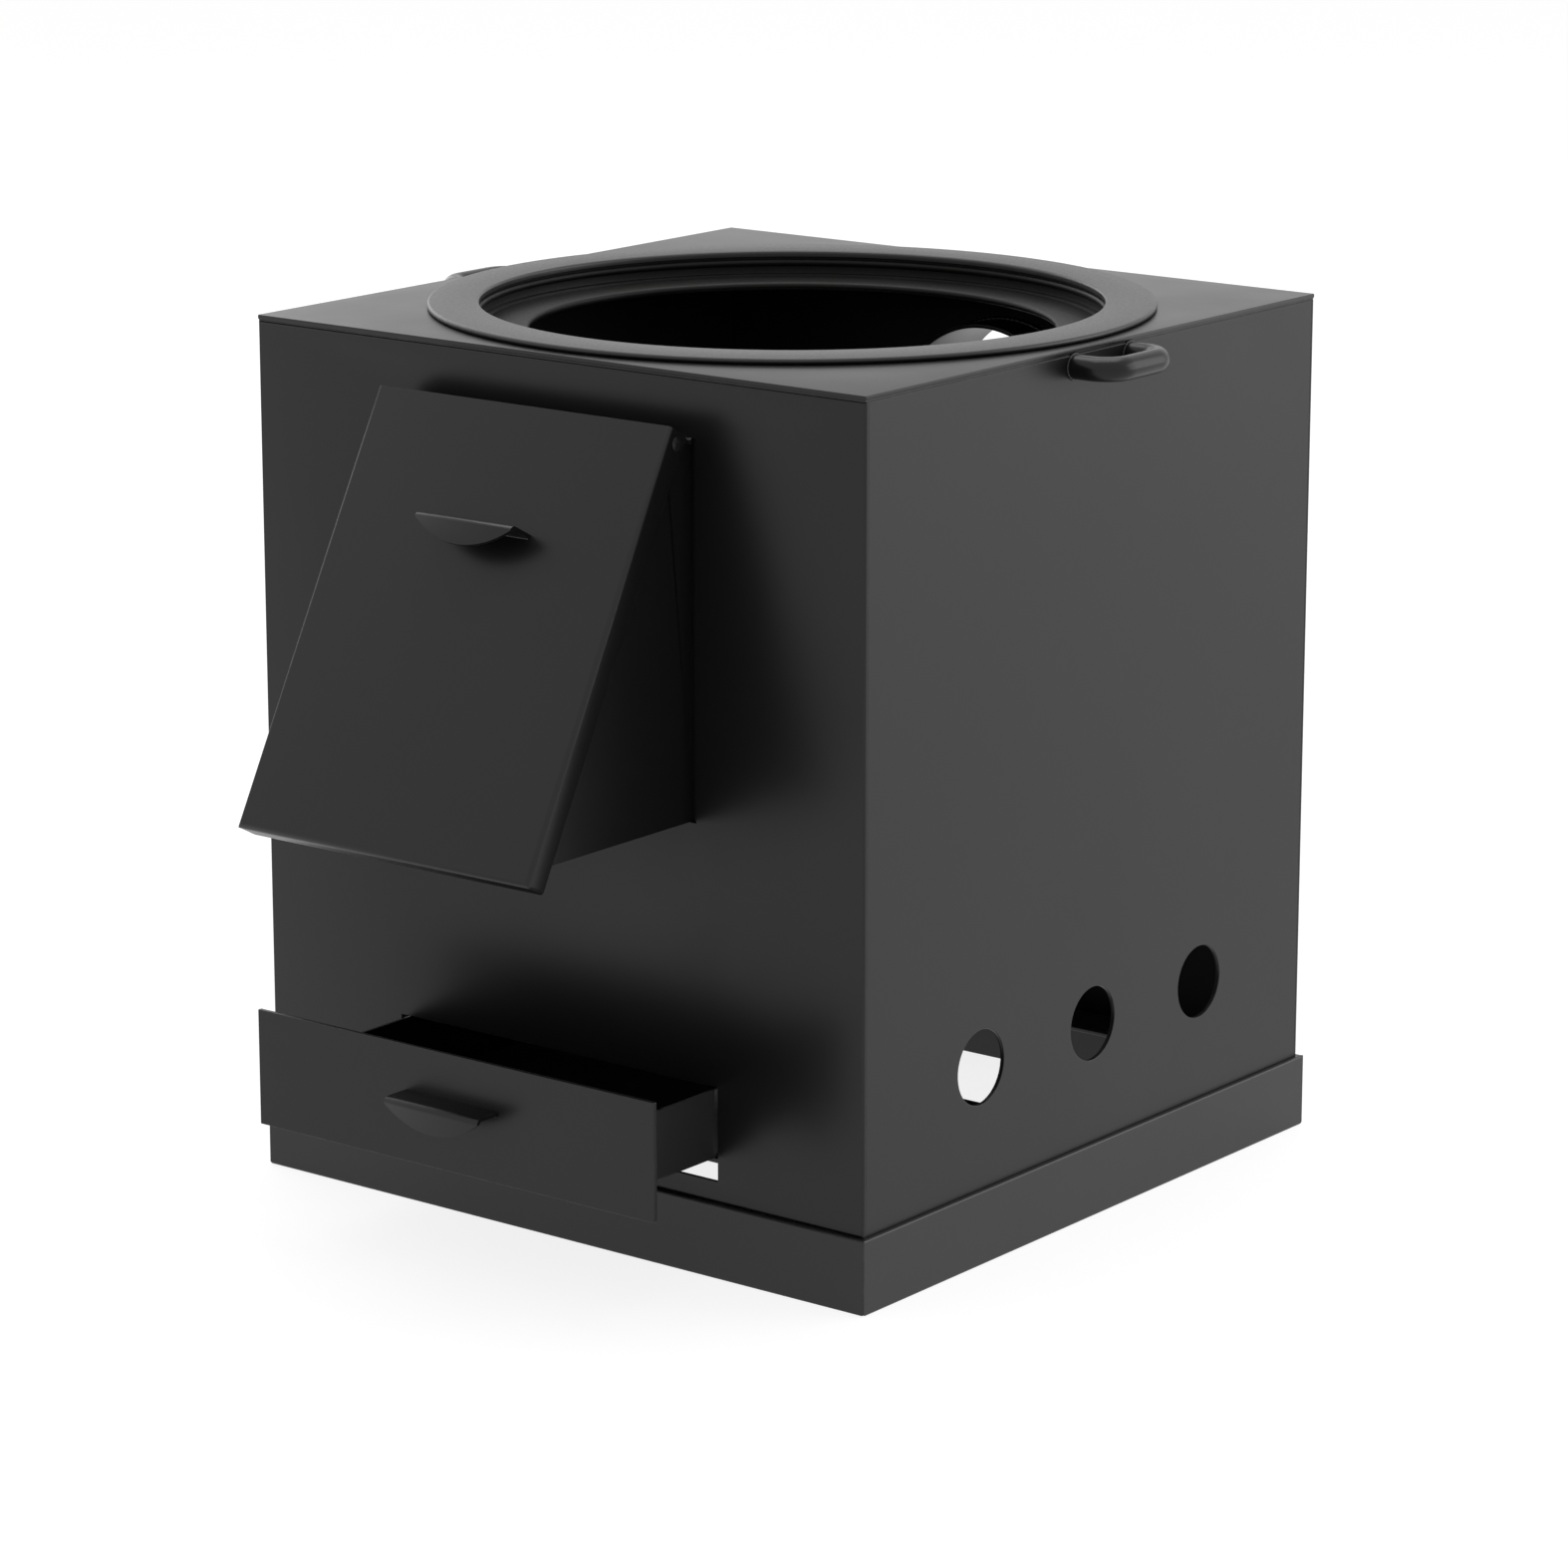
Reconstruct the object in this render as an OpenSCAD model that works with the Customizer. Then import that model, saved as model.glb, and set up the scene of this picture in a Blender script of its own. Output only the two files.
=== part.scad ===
// Outdoor cooking stove in welded sheet steel: square fire box, sloping fuel chute
// with a lift-up door, ash drawer, stepped pot ring and rear flue collar.
// Millimetres. X to the right, Y to the back, Z up, origin at the middle of the foot.

/* [Body] */
// Outer width and depth of the square fire box
body_w = 500; // [400:5:700]
// Height of the stove to the top of the top plate
stove_h = 584; // [480:1:800]
// Thickness of the wall sheets
wall_t = 3; // [2:0.5:6]
// Thickness of the top plate
top_t = 4; // [3:0.5:8]

/* [Foot frame] */
// Height of the foot frame
base_h = 50; // [25:1:80]
// Thickness of its angle steel
base_t = 4; // [3:0.5:8]
// How far the foot frame stands proud of the walls
base_proud = 3.5; // [1:0.5:8]
// Width of the angle's inward leg
base_leg = 40; // [20:1:60]

/* [Air holes] */
// Diameter of the side air holes
air_d = 50; // [20:1:70]
// Height of their centres above the foot frame
air_rise = 82; // [60:1:120]
// Spacing of the three holes
air_pitch = 125; // [80:1:150]

/* [Flue] */
// Inside diameter of the flue collar
flue_d = 150; // [100:1:200]
// Wall of the flue collar
flue_t = 3; // [2:0.5:6]
// Depth of the flue's centre line below the top
flue_drop = 120; // [110:1:200]
// Length of the collar inside the back wall
flue_in = 30; // [5:1:60]
// Length of the collar behind the back wall
flue_out = 42; // [20:1:120]

/* [Pot ring] */
// Distance from the pot ring's edge to the side of the stove
ring_margin = 8; // [1:0.5:40]
// Width of the pot ring's flange
ring_face = 34.5; // [20:0.5:60]
// Thickness of the flange
ring_t = 4; // [3:0.2:8]
// Thickness of the skirt below the flange
skirt_t = 3.5; // [2:0.5:6]
// How far the skirt's inside lies behind the mouth
undercut = 2; // [1:0.25:4]
// Radius of the bead round the inside of the skirt
bead_r = 2.5; // [1.5:0.25:4]
// Depth of the bead below the flange
bead_drop = 4.5; // [3:0.25:6]
// Depth of the narrow step below the flange
step_drop = 12; // [8:0.5:16]
// How far that step reaches in from the skirt
step_w = 5.5; // [3:0.5:10]
// Width of the seat for the reducing ring
seat_w = 8; // [4:0.5:16]
// Thickness of that seat
seat_t = 3; // [2:0.5:6]

/* [Reducing ring] */
// Height of the step's edge above the reducing ring's upper face
reducer_sink = 1.5; // [0:0.25:4]
// Width of the reducing ring measured from the pot ring's mouth
reducer_face = 32.5; // [25:0.5:80]
// Thickness of the reducing ring
reducer_t = 5; // [3:0.5:10]

/* [Fuel chute] */
// Outer width over the two cheeks
chute_w = 226; // [140:1:300]
// Height of the chute's underside above the foot frame
chute_rise = 247.5; // [180:0.5:320]
// Thickness of the chute's sheets
chute_t = 3; // [2:0.5:6]
// Slit beside each cheek, which the door's rims cover
chute_slit = 4.5; // [3:0.5:10]
// Border of the frame behind the front wall
chute_border = 26; // [15:1:40]

/* [Chute door] */
// Slope of the door from upright
door_tilt = 28.15; // [15:0.05:40]
// Distance of the door's top edge from the front wall
door_top_out = 26.75; // [22:0.25:60]
// Depth of the door's top edge below the stove's top
door_top_drop = 29; // [15:0.5:60]
// How far the door reaches past the chute's lower edge
door_reach = 8.2; // [7:0.1:20]
// Thickness of the door's sheet
door_t = 3; // [2:0.5:6]
// Depth of the folded rims
rim_d = 17; // [15:0.5:40]

/* [Hinge] */
// Diameter of the hinge rod
rod_d = 6; // [4:0.5:8]
// Distance of the rod from the door's top edge
rod_down = 8; // [6:0.25:12]
// Distance of the rod behind the door's outer face
rod_in = 10; // [9:0.25:12]
// Diameter of the heads on the rod's ends
head_d = 9; // [8:0.5:12]
// Thickness of those heads
head_t = 1; // [0.5:0.25:4]
// Outer diameter of the washers between cheek and rim
washer_d = 11; // [9:0.5:13]

/* [Pulls] */
// Width of a pull
pull_w = 82; // [50:1:140]
// Stand-off of a pull
pull_out = 20; // [12:1:40]
// Drop of its D-shaped lip at the middle
pull_lip = 15.5; // [8:0.5:30]
// Thickness of its sheet
pull_t = 2.5; // [1.5:0.5:5]
// Distance of the door pull from the door's top edge
door_pull_at = 81.5; // [40:0.5:160]
// Depth of the drawer pull below the drawer front's upper edge
drawer_pull_at = 30.5; // [5:0.5:40]

/* [Ash drawer] */
// Width of the drawer's opening in the front wall
slot_w = 268; // [180:1:340]
// Height of the opening's lower edge above the foot frame
slot_rise = 14; // [4:0.5:30]
// Height of the opening
slot_h = 63; // [45:0.5:90]
// Lap of the drawer front on each side of the opening
front_lap = 32.5; // [5:0.5:50]
// Lap of the drawer front above the opening
front_top_lap = 21.5; // [5:0.5:40]
// Height of the drawer front's lower edge above the opening's
front_lift = 6.5; // [-10:0.5:12]
// Thickness of the drawer front
front_t = 3; // [2:0.5:6]
// Gap between the tray and each side of the opening
tray_gap = 2.5; // [1:0.25:6]
// Gap between the tray and the top of the opening
tray_top_gap = 2; // [1:0.25:6]
// Height of the tray's underside above the opening's lower edge
tray_lift = 14.5; // [8:0.1:20]
// Length of the tray
tray_len = 345; // [200:1:380]
// Sheet thickness of the tray
tray_t = 2; // [1:0.5:4]
// How far the drawer stands open
drawer_out = 100.5; // [0:0.5:150]

/* [Drawer rails] */
// Width of the rail's level leg under the tray
rail_lap = 12.5; // [8:0.5:25]
// Height of the rail's upright leg
rail_h = 16; // [8:0.5:20]
// Thickness of the rails
rail_t = 3; // [2:0.5:5]
// Length of the rails behind the front wall
rail_len = 242; // [160:1:340]
// Width of the cross bar that carries their rear ends
cross_w = 20; // [10:1:40]
// Thickness of the cross bar
cross_t = 3; // [2:0.5:5]

/* [Fire grate] */
// Gap between the air holes and the grate's ledges
ledge_gap = 4.5; // [1:0.5:20]
// Leg of the ledge that carries the grate
ledge_w = 25; // [15:1:40]
// Height of the ledge's upright leg
ledge_h = 12.5; // [8:0.5:30]
// Thickness of the ledges
ledge_t = 3; // [2:0.5:5]
// Height of the grate bars
grate_h = 12; // [6:1:25]
// Width of one bar
grate_bar = 10; // [5:0.5:20]
// Width of one slot between the bars
grate_slot = 12; // [6:0.5:20]
// Solid border of each half of the grate
grate_edge = 15; // [10:0.5:30]
// Gap round the grate
grate_gap = 7; // [6.5:0.5:12]
// Gap between the two halves
grate_split = 4; // [1:0.5:8]

/* [Carrying handles] */
// Diameter of the bar
bar_d = 16; // [8:0.5:20]
// Distance between the centres of its two legs
bar_span = 62; // [45:1:200]
// Distance of the grip's centre line from the wall
bar_out = 29; // [24:1:60]
// Radius of the bends on the centre line
bar_bend = 16; // [11:0.5:20]
// Depth of the handles below the stove's top
bar_drop = 3.5; // [0:0.5:200]

/* [Hidden] */
$fn = 64;
ring_fn = 96;
edge_fn = 16;
// Running gap between pieces that move past or rest on each other
run = 0.3;
// Radial fits: rod in the rims, skirt in the top plate, reducing ring in its seat
rod_fit = 0.06;
ring_fit = 1;
reducer_fit = 0.8;
// Overrun of every cut
over = 1;

half_w = body_w / 2;
inner = half_w - wall_t;
wall_top = stove_h - top_t;
base_half = half_w + base_proud;
air_z = base_h + air_rise;
flue_z = stove_h - flue_drop;

// Pot ring radii, from the flange's edge to the seat's inner edge
ring_r = half_w - ring_margin;
mouth_r = ring_r - ring_face;
skirt_in = mouth_r + undercut;
skirt_out = skirt_in + skirt_t;
step_r = skirt_in - step_w;
seat_r = step_r - seat_w;
top_hole_r = skirt_out + ring_fit;
// Depths below the flange's underside
reducer_top = step_drop + reducer_sink;
seat_top = reducer_top + reducer_t + run;
ring_foot = seat_top + seat_t;
ring_z = stove_h + run;

tilt_s = sin(door_tilt);
tilt_c = cos(door_tilt);
door_top_y = -half_w - door_top_out;
door_top_z = stove_h - door_top_drop;
// Place in Y and Z of a point s down the door and q behind its outer face
function door_pt(s, q) = [door_top_y - s * tilt_s + q * tilt_c, door_top_z - s * tilt_c - q * tilt_s];
rod = door_pt(rod_down, rod_in);
// Front edge of the cheeks, just clear of the door's sheet
rest_q = door_t + run;
ear_r = rod_in - rest_q;
chute_z = base_h + chute_rise;
chute_top = rod[1];
function rest_s(z) = (door_top_z - rest_q * tilt_s - z) / tilt_c;
cheek_x = chute_w / 2;
rim_x = cheek_x + chute_slit;
door_x = rim_x + door_t;
door_len = rest_s(chute_z) + door_reach;

slot_z = base_h + slot_rise;
tray_x = slot_w / 2 - tray_gap;
tray_z = slot_z + tray_lift;
tray_h = slot_h - tray_lift - tray_top_gap;
drawer_face = -half_w - front_t - drawer_out;
tray_front = drawer_face + front_t;
front_z = slot_z + front_lift;
front_h = slot_h + front_top_lap - front_lift;
rail_top = tray_z - run;
rail_x = slot_w / 2 + rail_t;
ledge_top = air_z + air_d / 2 + ledge_gap + ledge_h;

// Stands an outline drawn in Y and Z between two places on X.
module across(x0, x1) {
    translate([x0, 0, 0])
        rotate([90, 0, 90])
        linear_extrude(x1 - x0)
        children();
}

// Front wall with the mouths of the fuel chute and the ash drawer.
module front_wall() {
    color("DimGray")
    difference() {
        translate([-half_w, -half_w, base_h])
            cube([body_w, wall_t, wall_top - base_h]);
        translate([-rim_x, -half_w - over, chute_z])
            cube([2 * rim_x, wall_t + 2 * over, chute_top - chute_z]);
        translate([-slot_w / 2, -half_w - over, slot_z])
            cube([slot_w, wall_t + 2 * over, slot_h]);
    }
}

// Back wall with the hole that the flue collar fills.
module back_wall() {
    color("DimGray")
    difference() {
        translate([-half_w, inner, base_h])
            cube([body_w, wall_t, wall_top - base_h]);
        translate([0, inner - over, flue_z])
            rotate([-90, 0, 0])
            cylinder(d = flue_d + 2 * flue_t, h = wall_t + 2 * over);
    }
}

// Side wall between the front and back walls, with its row of air holes.
module side_wall(side) {
    x0 = side > 0 ? inner : -half_w;
    color("DimGray")
    difference() {
        translate([x0, -inner, base_h])
            cube([wall_t, 2 * inner, wall_top - base_h]);
        for (k = [-1:1])
            translate([x0 - over, k * air_pitch, air_z])
                rotate([0, 90, 0])
                cylinder(d = air_d, h = wall_t + 2 * over);
    }
}

module left_wall() { side_wall(-1); }
module right_wall() { side_wall(1); }

// Top plate with the pot opening.
module top_plate() {
    color("Gray")
    translate([0, 0, wall_top])
    difference() {
        translate([-half_w, -half_w, 0])
            cube([body_w, body_w, top_t]);
        translate([0, 0, -over])
            cylinder(r = top_hole_r, h = top_t + 2 * over, $fn = ring_fn);
    }
}

// One length of the foot's angle steel, mitred at both ends.
module foot_bar(turn) {
    edge = -base_half;
    color("DarkSlateGray")
    rotate([0, 0, turn])
    intersection() {
        across(edge, base_half)
            polygon([[edge, 0], [edge + base_t, 0], [edge + base_t, base_h - base_t],
                     [edge + base_leg, base_h - base_t], [edge + base_leg, base_h], [edge, base_h]]);
        linear_extrude(base_h)
            polygon([[edge, edge], [base_half, edge], [0, 0]]);
    }
}

module foot_front() { foot_bar(0); }
module foot_right() { foot_bar(90); }
module foot_back() { foot_bar(180); }
module foot_left() { foot_bar(270); }

// Short flue collar welded through the back wall.
module flue_collar() {
    flue_len = flue_in + wall_t + flue_out;
    color("DarkGray")
    translate([0, inner - flue_in, flue_z])
        rotate([-90, 0, 0])
        difference() {
            cylinder(d = flue_d + 2 * flue_t, h = flue_len);
            translate([0, 0, -over])
                cylinder(d = flue_d, h = flue_len + 2 * over);
        }
}

// Half section of the pot ring: flange with round edges, skirt with a bead and a narrow step,
// and at its foot the seat that carries the reducing ring.
module ring_profile() {
    translate([mouth_r + ring_t / 2, 0])
        square([ring_face - ring_t, ring_t]);
    for (r = [mouth_r + ring_t / 2, ring_r - ring_t / 2])
        translate([r, ring_t / 2])
            circle(d = ring_t, $fn = edge_fn);
    translate([skirt_in, -ring_foot])
        square([skirt_t, ring_foot + ring_t / 2]);
    translate([skirt_in, -bead_drop])
        circle(r = bead_r, $fn = edge_fn);
    translate([step_r, -ring_foot])
        square([skirt_out - step_r, ring_foot - step_drop]);
    translate([seat_r, -ring_foot])
        square([skirt_out - seat_r, seat_t]);
}

// Pot ring that hangs by its flange in the top plate.
module pot_ring() {
    color("SlateGray")
    translate([0, 0, ring_z])
        rotate_extrude($fn = ring_fn)
        ring_profile();
}

// Flat reducing ring with a rounded mouth, loose on the pot ring's seat.
module reducing_ring() {
    hole_r = mouth_r - reducer_face;
    nose_r = hole_r + reducer_t / 2;
    color("LightSlateGray")
    translate([0, 0, ring_z - reducer_top - reducer_t])
        rotate_extrude($fn = ring_fn)
        union() {
            translate([nose_r, 0])
                square([step_r - reducer_fit - nose_r, reducer_t]);
            translate([nose_r, reducer_t / 2])
                circle(d = reducer_t, $fn = edge_fn);
        }
}

// Frame behind the front wall that carries the chute and closes its slits.
module chute_frame() {
    frame_x = cheek_x + chute_border;
    window_x = cheek_x - chute_t;
    color("DarkSlateGray")
    translate([0, -inner, 0])
    difference() {
        translate([-frame_x, 0, chute_z - chute_border])
            cube([2 * frame_x, chute_t, chute_top - chute_z + 2 * chute_border]);
        translate([-window_x, -over, chute_z + chute_t])
            cube([2 * window_x, chute_t + 2 * over, chute_top - chute_z - 2 * chute_t]);
    }
}

// Cheek of the chute: level foot and top, sloping front, and an ear round the hinge rod.
module cheek(side) {
    x0 = side > 0 ? cheek_x - chute_t : -cheek_x;
    color("SlateGray")
    difference() {
        union() {
            across(x0, x0 + chute_t)
                polygon([[-inner, chute_z], door_pt(rest_s(chute_z), rest_q), door_pt(rod_down, rest_q),
                         rod, [-inner, chute_top]]);
            on_rod()
                translate([0, 0, x0])
                cylinder(r = ear_r, h = chute_t);
        }
        on_rod()
            translate([0, 0, x0 - over])
            cylinder(d = rod_d, h = chute_t + 2 * over);
    }
}

module chute_cheek_left() { cheek(-1); }
module chute_cheek_right() { cheek(1); }

// Floor on which the wood slides in, cut back to the slope of the door.
module chute_floor() {
    top = chute_z + chute_t;
    color("SlateGray")
    across(chute_t - cheek_x, cheek_x - chute_t)
        polygon([[-inner, chute_z], door_pt(rest_s(chute_z), rest_q), door_pt(rest_s(top), rest_q),
                 [-inner, top]]);
}

// Strip that closes the chute above, behind the hinge rod.
module chute_roof() {
    front = rod[0] + ear_r;
    color("SlateGray")
    translate([chute_t - cheek_x, front, chute_top - chute_t])
        cube([chute_w - 2 * chute_t, -inner - front, chute_t]);
}

// Lays a child along the hinge axis, with its origin in the middle of the stove.
module on_rod() {
    translate([0, rod[0], rod[1]])
        rotate([0, 90, 0])
        children();
}

// Hinge rod through both cheeks and both rims, with riveted heads.
module hinge_rod() {
    reach = door_x + run;
    color("Silver")
    on_rod()
        union() {
            translate([0, 0, -reach])
                cylinder(d = rod_d, h = 2 * reach);
            translate([0, 0, reach])
                cylinder(d = head_d, h = head_t);
            translate([0, 0, -reach - head_t])
                cylinder(d = head_d, h = head_t);
        }
}

// Two washers that keep the rims off the cheeks.
module hinge_washers() {
    color("Silver")
    for (s = [-1, 1])
        mirror([s < 0 ? 1 : 0, 0, 0])
        on_rod()
        translate([0, 0, cheek_x])
        difference() {
            cylinder(d = washer_d, h = chute_slit - run);
            translate([0, 0, -over])
                cylinder(d = rod_d, h = chute_slit + 2 * over);
        }
}

// Lays a child on the slope of the door: X across, Y down the door, Z outwards.
module on_door() {
    translate([0, door_top_y, door_top_z])
        rotate([-90 - door_tilt, 0, 0])
        mirror([0, 0, 1])
        children();
}

// Door folded from one sheet, with rims on both sides and below.
module chute_door() {
    color("DimGray")
    difference() {
        on_door()
            union() {
                translate([-door_x, 0, -door_t])
                    cube([2 * door_x, door_len, door_t]);
                for (x = [-door_x, rim_x])
                    translate([x, 0, -rim_d])
                        cube([door_t, door_len, rim_d]);
                translate([-door_x, door_len - door_t, -rim_d])
                    cube([2 * door_x, door_t, rim_d]);
            }
        on_rod()
            translate([0, 0, -door_x - over])
            cylinder(d = rod_d + 2 * rod_fit, h = 2 * door_x + 2 * over);
    }
}

// Pull bent from sheet: a shelf that stands off, and a D-shaped lip that hangs from it.
// Drawn with X across, Y down the panel and Z out of the panel.
module pull_shape() {
    lip_r = (pull_w * pull_w / 4 + pull_lip * pull_lip) / (2 * pull_lip);
    union() {
        translate([-pull_w / 2, 0, 0])
            cube([pull_w, pull_t, pull_out]);
        translate([0, 0, pull_out - pull_t])
            linear_extrude(pull_t)
            intersection() {
                translate([0, pull_t + pull_lip - lip_r])
                    circle(r = lip_r, $fn = ring_fn);
                translate([-pull_w / 2, 0])
                    square([pull_w, pull_t + pull_lip]);
            }
    }
}

module door_pull() {
    color("Gray")
    on_door()
        translate([0, door_pull_at, 0])
        pull_shape();
}

// Drawer front, larger than its opening.
module drawer_front() {
    front_x = slot_w / 2 + front_lap;
    color("DimGray")
    translate([-front_x, drawer_face, front_z])
        cube([2 * front_x, front_t, front_h]);
}

// Open tray of folded sheet behind the drawer front.
module drawer_tray() {
    color("SlateGray")
    translate([-tray_x, tray_front, tray_z])
    difference() {
        cube([2 * tray_x, tray_len, tray_h]);
        translate([tray_t, tray_t, tray_t])
            cube([2 * tray_x - 2 * tray_t, tray_len - 2 * tray_t, tray_h]);
    }
}

module drawer_pull() {
    color("Gray")
    translate([0, drawer_face, front_z + front_h - drawer_pull_at])
        rotate([90, 0, 0])
        mirror([0, 1, 0])
        pull_shape();
}

// Angle rail under one side of the tray, fixed to the inside of the front wall.
module rail(side) {
    color("DarkSlateGray")
    mirror([side < 0 ? 1 : 0, 0, 0])
    translate([0, -inner, rail_top])
        rotate([-90, 0, 0])
        linear_extrude(rail_len)
        polygon([[rail_x, 0], [tray_x - rail_lap, 0], [tray_x - rail_lap, rail_t],
                 [rail_x - rail_t, rail_t], [rail_x - rail_t, rail_h], [rail_x, rail_h]]);
}

module rail_left() { rail(-1); }
module rail_right() { rail(1); }

// Flat bar from wall to wall under the rear ends of the rails.
module rail_cross() {
    color("DarkSlateGray")
    translate([-inner, rail_len - inner - cross_w, rail_top - rail_h - cross_t])
        cube([2 * inner, cross_w, cross_t]);
}

// Half of the fire grate, a cast plate with round-ended slots.
module grate_half(turn) {
    grate_x = inner - grate_gap;
    near_y = grate_split / 2;
    far_y = inner - grate_gap;
    pitch = grate_slot + grate_bar;
    slots = floor((2 * grate_x - 2 * grate_edge + grate_bar) / pitch);
    first = -(slots - 1) * pitch / 2;
    slot_y0 = near_y + grate_edge + grate_slot / 2;
    slot_y1 = far_y - grate_edge - grate_slot / 2;
    color("DarkGray")
    rotate([0, 0, turn])
    translate([0, 0, ledge_top + run])
        linear_extrude(grate_h)
        difference() {
            translate([-grate_x, near_y])
                square([2 * grate_x, far_y - near_y]);
            for (k = [0:slots - 1])
                translate([first + k * pitch, 0])
                    union() {
                        translate([-grate_slot / 2, slot_y0])
                            square([grate_slot, slot_y1 - slot_y0]);
                        for (y = [slot_y0, slot_y1])
                            translate([0, y])
                                circle(d = grate_slot, $fn = edge_fn);
                    }
        }
}

module grate_front() { grate_half(180); }
module grate_back() { grate_half(0); }

// Angle ledge along a side wall that carries the grate.
module ledge(side) {
    color("DarkSlateGray")
    mirror([side < 0 ? 1 : 0, 0, 0])
    translate([0, -inner, ledge_top])
        rotate([-90, 0, 0])
        linear_extrude(2 * inner)
        polygon([[inner, 0], [inner - ledge_w, 0], [inner - ledge_w, ledge_t],
                 [inner - ledge_t, ledge_t], [inner - ledge_t, ledge_h], [inner, ledge_h]]);
}

module ledge_left() { ledge(-1); }
module ledge_right() { ledge(1); }

// Carrying handle: round bar bent to a U, its two legs welded to the wall.
module handle(side) {
    leg = bar_out - bar_bend;
    grip = bar_span / 2 - bar_bend;
    color("Gray")
    mirror([side < 0 ? 1 : 0, 0, 0])
    translate([half_w, 0, stove_h - bar_drop - bar_d / 2])
        union() {
            for (s = [0, 1])
                mirror([0, s, 0]) {
                    translate([0, bar_span / 2, 0])
                        rotate([0, 90, 0])
                        cylinder(d = bar_d, h = leg, $fn = 2 * edge_fn);
                    translate([leg, grip, 0])
                        rotate_extrude(angle = 90)
                        translate([bar_bend, 0])
                        circle(d = bar_d, $fn = 2 * edge_fn);
                }
            translate([bar_out, -grip, 0])
                rotate([-90, 0, 0])
                cylinder(d = bar_d, h = 2 * grip, $fn = 2 * edge_fn);
        }
}

module handle_left() { handle(-1); }
module handle_right() { handle(1); }

front_wall();
back_wall();
left_wall();
right_wall();
top_plate();
foot_front();
foot_back();
foot_left();
foot_right();
flue_collar();
pot_ring();
reducing_ring();
chute_frame();
chute_cheek_left();
chute_cheek_right();
chute_floor();
chute_roof();
hinge_rod();
hinge_washers();
chute_door();
door_pull();
drawer_front();
drawer_tray();
drawer_pull();
rail_left();
rail_right();
rail_cross();
grate_front();
grate_back();
ledge_left();
ledge_right();
handle_left();
handle_right();
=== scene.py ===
# Outdoor cooking stove: black powder-coated sheet steel, round pot ring, fuel chute and ash drawer.
import math
import bmesh
import bpy
from mathutils import Matrix, Vector


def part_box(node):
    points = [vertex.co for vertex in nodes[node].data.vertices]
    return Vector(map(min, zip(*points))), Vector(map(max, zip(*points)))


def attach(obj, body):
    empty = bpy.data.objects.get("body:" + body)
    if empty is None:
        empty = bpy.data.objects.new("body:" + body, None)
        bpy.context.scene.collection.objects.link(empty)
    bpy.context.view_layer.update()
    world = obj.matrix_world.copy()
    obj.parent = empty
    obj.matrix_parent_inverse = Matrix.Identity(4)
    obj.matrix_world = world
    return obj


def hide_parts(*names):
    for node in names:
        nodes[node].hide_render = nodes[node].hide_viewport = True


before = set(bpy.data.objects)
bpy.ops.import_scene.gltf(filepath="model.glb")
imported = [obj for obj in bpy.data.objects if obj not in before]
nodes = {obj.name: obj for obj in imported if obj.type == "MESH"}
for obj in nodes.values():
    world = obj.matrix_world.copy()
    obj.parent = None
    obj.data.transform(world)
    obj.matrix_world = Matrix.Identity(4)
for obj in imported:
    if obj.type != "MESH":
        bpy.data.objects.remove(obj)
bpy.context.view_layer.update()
scene = bpy.context.scene
mm = 0.001


# short helpers for shader nodes
def newMaterial(name):
    mat = bpy.data.materials.new(name)
    mat.use_nodes = True
    tree = mat.node_tree
    shader = tree.nodes["Principled BSDF"]
    return mat, tree, shader


def addNode(tree, kind, **settings):
    node = tree.nodes.new(kind)
    for key, value in settings.items():
        if key in node.inputs:
            node.inputs[key].default_value = value
        else:
            setattr(node, key, value)
    return node


def objectPoint(tree, stretch=(1, 1, 1)):
    coords = addNode(tree, "ShaderNodeTexCoord")
    mapping = addNode(tree, "ShaderNodeMapping", Scale=stretch)
    tree.links.new(coords.outputs["Object"], mapping.inputs["Vector"])
    return mapping.outputs["Vector"]


def noise(tree, point, scale, detail=3.0, roughness=0.55):
    node = addNode(tree, "ShaderNodeTexNoise", Scale=scale, Detail=detail, Roughness=roughness)
    tree.links.new(point, node.inputs["Vector"])
    return node.outputs["Fac"]


def remap(tree, value, fromLow, fromHigh, toLow, toHigh):
    node = addNode(tree, "ShaderNodeMapRange")
    node.inputs["From Min"].default_value = fromLow
    node.inputs["From Max"].default_value = fromHigh
    node.inputs["To Min"].default_value = toLow
    node.inputs["To Max"].default_value = toHigh
    tree.links.new(value, node.inputs["Value"])
    return node.outputs["Result"]


def combine(tree, operation, first, second):
    node = addNode(tree, "ShaderNodeMath", operation=operation)
    for socket, value in zip(node.inputs, (first, second)):
        if isinstance(value, (int, float)):
            socket.default_value = value
        else:
            tree.links.new(value, socket)
    return node.outputs["Value"]


def mixColour(tree, factor, first, second):
    node = addNode(tree, "ShaderNodeMix", data_type="RGBA")
    for socket, value in ((node.inputs[6], first), (node.inputs[7], second)):
        if isinstance(value, tuple):
            socket.default_value = (*value, 1)
        else:
            tree.links.new(value, socket)
    tree.links.new(factor, node.inputs[0])
    return node.outputs[2]


def addBump(tree, height, strength, distance, normal=None):
    node = addNode(tree, "ShaderNodeBump", Strength=strength, Distance=distance)
    tree.links.new(height, node.inputs["Height"])
    if normal:
        tree.links.new(normal, node.inputs["Normal"])
    return node.outputs["Normal"]


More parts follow.
